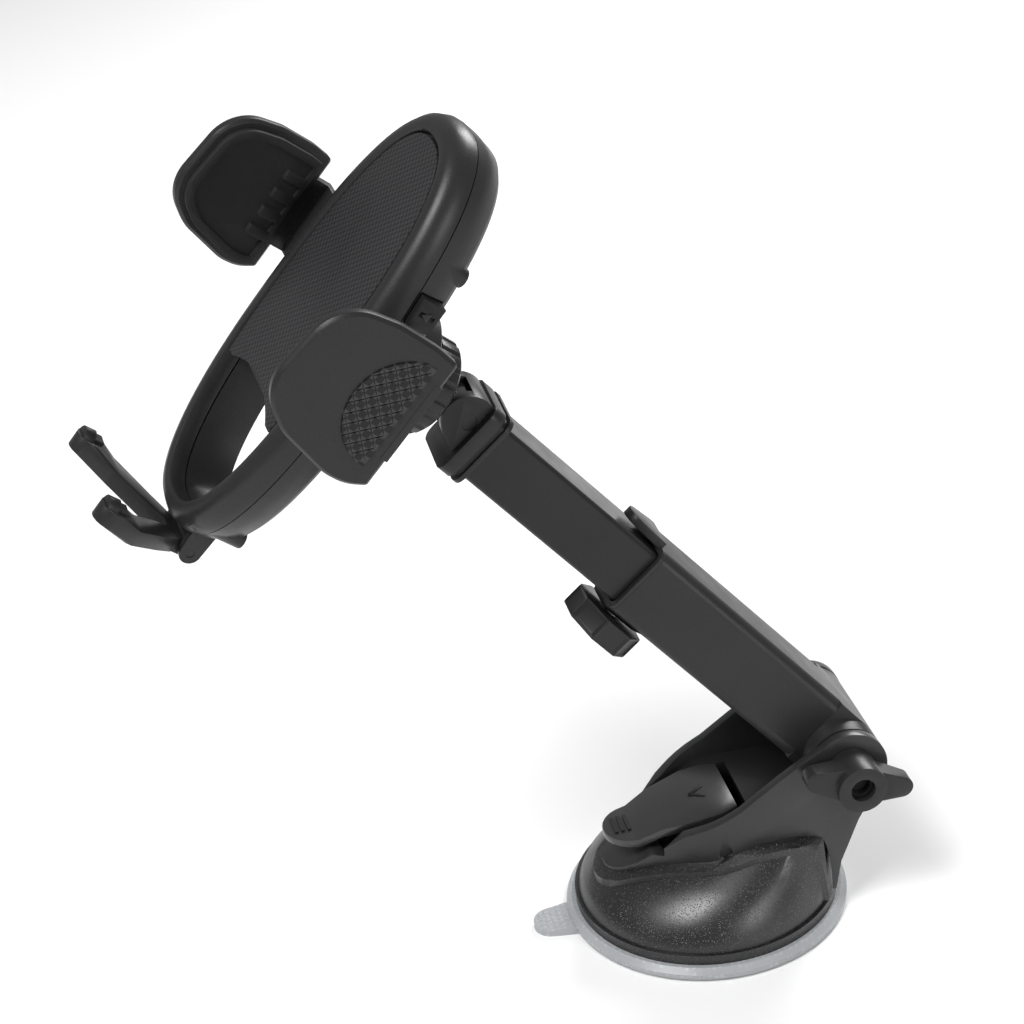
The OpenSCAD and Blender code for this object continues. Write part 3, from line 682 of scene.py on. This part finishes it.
@dataclass
class SubAssembly:
    """A group of pieces that is built and dressed together."""

    rig: Rig
    shop: FinishShop
    pieces: list[Piece] = field(default_factory=list)

    def keep(self, mesh: bpy.types.Object, body: str, slot: str, *stands_for: str) -> None:
        """Dresses a piece, ties it to its body and notes it.

        Args:
            mesh: The finished mesh object.
            body: The CAD body it moves with.
            slot: The record slot of its finish.
            stands_for: CAD nodes that it replaces.
        """
        self.shop.dress(mesh, slot)
        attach(mesh, body)
        if stands_for:
            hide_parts(*stands_for)
        self.pieces.append(Piece(mesh, body, slot, stands_for))
        LOG.info("%s rides on %s", mesh.name, body)

    def build(self) -> None:
        """Builds every piece of the group."""
        raise NotImplementedError


# ---------------------------------------------------------------- sub-assemblies


@dataclass
class LeverMarks(SubAssembly):
    """The arrow mark on the lock lever."""

    arrow_len: float = 4.6
    arrow_w: float = 0.9
    arrow_h: float = 0.5
    arrow_x: float = -2.6
    arrow_z: float = 32.55
    slope: float = 5.2
    opening: float = 32.0
    overlap: float = 0.46

    def build(self) -> None:
        """Models the two strokes of the arrow and joins them."""
        strokes = []
        for side in (-1, 1):
            stroke = Bench.add(bpy.ops.mesh.primitive_cube_add, size=1.0)
            stroke.scale = (self.arrow_len * MM, self.arrow_w * MM, self.arrow_h * MM)
            bpy.ops.object.transform_apply(scale=True)
            Bench.pick(stroke, lambda face: face.normal.z > FACING)
            Bench.inset_push(0.08 * MM, 0.12 * MM)
            Bench.soften(stroke, 0.1 * MM, 2)
            turn = Matrix.Rotation(side * math.radians(self.opening), 4, "Z")
            reach = self.arrow_len * self.overlap * MM
            stroke.matrix_world = turn @ Matrix.Translation((reach, 0.0, 0.0))
            strokes.append(stroke)
        arrow = Bench.join(strokes)
        place = (Matrix.Translation(Vector((self.arrow_x, 0.0, self.arrow_z)) * MM)
                 @ Matrix.Rotation(math.radians(-self.slope), 4, "Y"))
        arrow = Bench.settle(arrow, place, "lever_arrow")
        self.keep(arrow, "lever", "lever_mark")


@dataclass
class BrakeKnob(SubAssembly):
    """The faceted thumb knob under the outer tube."""

    across: float = 21.0
    height: float = 6.4
    sides: int = 8
    gap: float = 2.2
    tube_half: float = 9.9
    along: float = 71.0

    def build(self) -> None:
        """Models a prism with sunken sides and a dished face."""
        knob = Bench.add(bpy.ops.mesh.primitive_cylinder_add, vertices=self.sides,
                         radius=self.across / 2 * MM, depth=self.height * MM)
        Bench.pick(knob, lambda face: abs(face.normal.z) < 0.1)
        bpy.ops.mesh.inset(thickness=0.9 * MM, depth=-0.45 * MM, use_individual=True)
        Bench.pick(knob, lambda face: face.normal.z > FACING and face.area > 5e-5)
        Bench.inset_push(-0.7 * MM, 2.4 * MM)
        Bench.soften(knob, 0.55 * MM, 3, 20.0)
        down = self.rig.axis("brake_knob_turn")
        side = Vector((0.0, 1.0, 0.0))
        hinge = self.rig.place("arm_tilt")
        arm = self.rig.axis("arm_extend")
        drop = self.tube_half + self.gap + self.height / 2
        middle = hinge + arm * self.along * MM + down * drop * MM
        spin = Matrix.Rotation(math.pi / self.sides, 4, "Z")
        place = place_from(middle, side.cross(down), side, down) @ spin
        knob = Bench.settle(knob, place, "brake_knob_grip")
        self.keep(knob, "brake_knob", "knob_black", "thumb_knob")


@dataclass
class ShellScrewHeads(SubAssembly):
    """Pan heads of the screws on the back of the holder's shell."""

    radius: float = 1.3
    height: float = 0.4
    back: float = -15.8
    places: tuple[tuple[float, float], ...] = ((51.0, 0.0), (32.0, 20.2), (32.0, -20.2))

    def build(self) -> None:
        """Models one head with a round recess for each place and joins them."""
        axes = self.rig.holder()
        heads = []
        for u, y in self.places:
            head = Bench.add(bpy.ops.mesh.primitive_cylinder_add, vertices=24,
                             radius=self.radius * MM, depth=self.height * MM)
            Bench.pick(head, lambda face: face.normal.z > FACING)
            Bench.inset_push(-0.2 * MM, 0.5 * MM)
            Bench.soften(head, 0.1 * MM, 2)
            behind = axes.front * (self.back - self.height / 2)
            where = axes.origin + (axes.up * u + axes.side * y + behind) * MM
            head.matrix_world = place_from(where, axes.up, -axes.side, -axes.front)
            heads.append(head)
        joined = Bench.settle(Bench.join(heads), Matrix.Identity(4), "shell_screw_heads")
        self.keep(joined, "holder", "steel")


@dataclass
class ButtonArrows(SubAssembly):
    """Small arrow marks on the two release buttons."""

    size: float = 1.5
    height: float = 0.25
    u: float = 22.2
    depth: float = -10.4
    reach: float = 27.15

    def build(self) -> None:
        """Models a three-sided mark on each button."""
        axes = self.rig.holder()
        for side, name in ((-1, "near"), (1, "far")):
            mark = Bench.add(bpy.ops.mesh.primitive_cylinder_add, vertices=3,
                             radius=self.size * MM, depth=self.height * MM)
            Bench.pick(mark, lambda face: face.normal.z > FACING)
            Bench.inset_push(0.06 * MM, 0.2 * MM)
            Bench.soften(mark, 0.06 * MM, 2)
            out = axes.side * side
            where = axes.origin + (axes.up * self.u + out * self.reach + axes.front * self.depth) * MM
            place = place_from(where, axes.up, out.cross(axes.up), out)
            mark = Bench.settle(mark, place, f"button_arrow_{name}")
            self.keep(mark, f"button_{name}", "clamp_black")


@dataclass
class TabDots(SubAssembly):
    """Raised grip dots on the cup's pull tab."""

    rows: int = 6
    columns: int = 4
    pitch: float = 1.9
    start: float = -45.6
    top: float = 2.0
    radius: float = 0.42
    row_share: float = 0.86
    stagger: float = 0.25

    def build(self) -> None:
        """Models one low dome and copies it over the tab."""
        dots = []
        for row in range(self.rows):
            for column in range(self.columns):
                x = self.start + row * self.pitch * self.row_share
                shift = self.stagger if row % 2 else -self.stagger
                y = (column - (self.columns - 1) / 2 + shift) * self.pitch
                dot = Bench.add(bpy.ops.mesh.primitive_uv_sphere_add, segments=10, ring_count=6,
                                radius=self.radius * MM)
                dot.scale = (1.0, 1.0, 0.7)
                dot.location = Vector((x, y, self.top)) * MM
                bpy.ops.object.transform_apply(location=True, rotation=True, scale=True)
                dots.append(dot)
        joined = Bench.join(dots)
        Bench.take(joined)
        bpy.ops.object.shade_smooth()
        joined = Bench.settle(joined, Matrix.Identity(4), "tab_dots")
        self.keep(joined, "base", "clear_cup")


@dataclass
class CarriedNodes:
    """CAD nodes that stay as they are and take their finishes."""

    frame: dict[str, Any]
    shop: FinishShop

    def dress(self) -> None:
        """Gives every CAD node the material of its record slot."""
        slots = {entry["node"]: entry["material_slot"] for entry in self.frame["record"]["subparts"]}
        for name, node in self.frame["nodes"].items():
            self.shop.dress(node, slots[name])
            LOG.info("%s wears %s", name, slots[name])


@dataclass
class MouldedShells(SubAssembly):
    """Smooth-shaded copies of the moulded CAD nodes, with softened edges."""

    nodes: tuple[tuple[str, float], ...] = (
        ("base_skirt", 0.0), ("base_housing", 0.25), ("suction_cup", 0.0), ("lock_lever", 0.3),
        ("wing_knob", 0.35), ("outer_tube", 0.3), ("inner_tube", 0.0), ("end_socket", 0.3),
        ("mouth_collar", 0.15), ("rear_shell", 0.0), ("front_bezel", 0.0), ("foot_fork", 0.4),
        ("clamp_arm_near", 0.3), ("clamp_arm_far", 0.3), ("clamp_pad_near", 0.15), ("clamp_pad_far", 0.15),
        ("ring_nut", 0.15), ("face_pad", 0.3), ("release_button_near", 0.25), ("release_button_far", 0.25),
        ("bolt_cap", 0.3), ("ball_stud", 0.0))
    smooth_angle: float = 40.0
    bevel_angle: float = 42.0
    flat_angle: float = 0.4
    frame: dict[str, Any] = field(default_factory=dict)

    def build(self) -> None:
        """Copies, merges, softens and smooths each node."""
        bodies = {n: b for b, names in self.frame["record"]["behaviour"]["bodies"].items() for n in names}
        slots = {e["node"]: e["material_slot"] for e in self.frame["record"]["subparts"]}
        for name, width in self.nodes:
            mesh = self._copy(name)
            if width > 0.0:
                self._soften(mesh, width)
            Bench.take(mesh)
            bpy.ops.object.shade_smooth_by_angle(angle=math.radians(self.smooth_angle))
            self.keep(mesh, bodies[name], slots[name], name)

    def _copy(self, name: str) -> bpy.types.Object:
        """A merged copy of a CAD node.

        Args:
            name: The node.

        Returns:
            The copy, with its flat faces dissolved.
        """
        source = self.frame["nodes"][name]
        mesh = bpy.data.objects.new(f"{name}_shell", source.data.copy())
        bpy.context.scene.collection.objects.link(mesh)
        Bench.take(mesh)
        mesh.data.materials.clear()
        if mesh.data.has_custom_normals:
            bpy.ops.mesh.customdata_custom_splitnormals_clear()
        bpy.ops.object.mode_set(mode="EDIT")
        bpy.ops.mesh.select_mode(type="VERT")
        bpy.ops.mesh.select_all(action="SELECT")
        bpy.ops.mesh.remove_doubles(threshold=2 * MERGE)
        bpy.ops.mesh.dissolve_limited(angle_limit=math.radians(self.flat_angle))
        bpy.ops.object.mode_set(mode="OBJECT")
        return mesh

    def _soften(self, mesh: bpy.types.Object, width: float) -> None:
        """Bevels the sharp edges of a copy.

        Args:
            mesh: The copy.
            width: Bevel width.
        """
        bevel = mesh.modifiers.new("soft_edges", "BEVEL")
        bevel.width = width * MM
        bevel.segments = 2
        bevel.limit_method = "ANGLE"
        bevel.angle_limit = math.radians(self.bevel_angle)
        bevel.use_clamp_overlap = True
        Bench.take(mesh)
        bpy.ops.object.modifier_apply(modifier=bevel.name)


# ---------------------------------------------------------------- studio


@dataclass
class Studio:
    """Floor, lights and camera."""

    azimuth: float = -8.683
    elevation: float = 27.022
    roll: float = -6.355
    distance: float = 620.0
    shift_x: float = -52.337
    shift_y: float = 102.641
    focal_px: float = 3.713 * 620.0
    frame_px: float = 1024.0
    sensor: float = 36.0
    floor_size: float = 8.0
    world_level: float = 0.34
    clip_near: float = 0.01
    clip_far: float = 50.0

    def build(self) -> None:
        """Builds the whole stage."""
        self._floor()
        self._world()
        self._lamps()
        self._camera()

    def _floor(self) -> None:
        """A wide pale floor under the cup."""
        floor = Bench.add(bpy.ops.mesh.primitive_plane_add, size=self.floor_size)
        floor.name = "floor"
        material = bpy.data.materials.new("floor_white")
        tree = Tree(material)
        cloud = tree.signal("ShaderNodeTexNoise", 0, None,
                            {"Vector": tree.signal("ShaderNodeTexCoord", "Object"), "Scale": 3.0})
        shader = tree.node("ShaderNodeBsdfPrincipled", None, {
            "Base Color": tree.mix(cloud, (0.88, 0.88, 0.88), (0.91, 0.91, 0.91)), "Roughness": 0.9})
        tree.node("ShaderNodeOutputMaterial", None, {"Surface": shader.outputs[0]})
        floor.data.materials.append(material)

    def _world(self) -> None:
        """A plain bright surround."""
        world = bpy.data.worlds.new("surround")
        bpy.context.scene.world = world
        world.use_nodes = True
        tree = world.node_tree
        background = tree.nodes["Background"]
        background.inputs["Color"].default_value = (1.0, 1.0, 1.0, 1.0)
        seen = tree.nodes.new("ShaderNodeLightPath")
        level = tree.nodes.new("ShaderNodeMapRange")
        level.inputs["To Min"].default_value = self.world_level
        level.inputs["To Max"].default_value = 1.0
        tree.links.new(seen.outputs["Is Camera Ray"], level.inputs["Value"])
        tree.links.new(level.outputs["Result"], background.inputs["Strength"])

    def _lamps(self) -> None:
        """Three soft area lamps."""
        target = Vector((-0.03, 0.0, 0.1))
        for name, place, size, power in (
                ("key", (-0.7, -0.5, 1.3), 0.6, 19.0),
                ("rim", (0.8, 0.9, 0.9), 0.6, 15.0),
                ("front", (0.5, -1.2, 0.5), 0.5, 5.0)):
            data = bpy.data.lights.new(name, "AREA")
            data.size = size
            data.energy = power
            lamp = bpy.data.objects.new(name, data)
            bpy.context.scene.collection.objects.link(lamp)
            lamp.location = place
            lamp.rotation_euler = (target - Vector(place)).to_track_quat("-Z", "Y").to_euler()

    def _camera(self) -> None:
        """The camera, from its turn, height, roll and distance."""
        a, e, r = (math.radians(v) for v in (self.azimuth, self.elevation, self.roll))
        right = Vector((math.cos(a), math.sin(a), 0.0))
        back = Vector((math.sin(a) * math.cos(e), -math.cos(a) * math.cos(e), math.sin(e)))
        up = back.cross(right)
        x = right * math.cos(r) + up * math.sin(r)
        y = up * math.cos(r) - right * math.sin(r)
        data = bpy.data.cameras.new("view")
        data.sensor_width = self.sensor
        data.lens = self.sensor * self.focal_px / self.frame_px
        data.clip_start = self.clip_near
        data.clip_end = self.clip_far
        camera = bpy.data.objects.new("view", data)
        bpy.context.scene.collection.objects.link(camera)
        camera.matrix_world = place_from(
            (x * self.shift_x + y * self.shift_y + back * self.distance) * MM, x, y, back)
        bpy.context.scene.camera = camera


def main() -> None:
    """Loads the frame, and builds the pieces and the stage."""
    logging.basicConfig(level=logging.INFO, format="%(name)s: %(message)s")
    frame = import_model()
    bpy.context.scene.view_settings.view_transform = "Standard"
    rig = Rig(frame["joints"])
    shop = FinishShop(rig.holder())
    CarriedNodes(frame, shop).dress()
    groups: Iterable[SubAssembly] = (
        MouldedShells(rig, shop, frame=frame), LeverMarks(rig, shop), BrakeKnob(rig, shop),
        ShellScrewHeads(rig, shop), ButtonArrows(rig, shop), TabDots(rig, shop))
    for group in groups:
        group.build()
        LOG.info("%s: %d pieces", type(group).__name__, len(group.pieces))
    Studio().build()


if __name__ == "__main__":
    main()
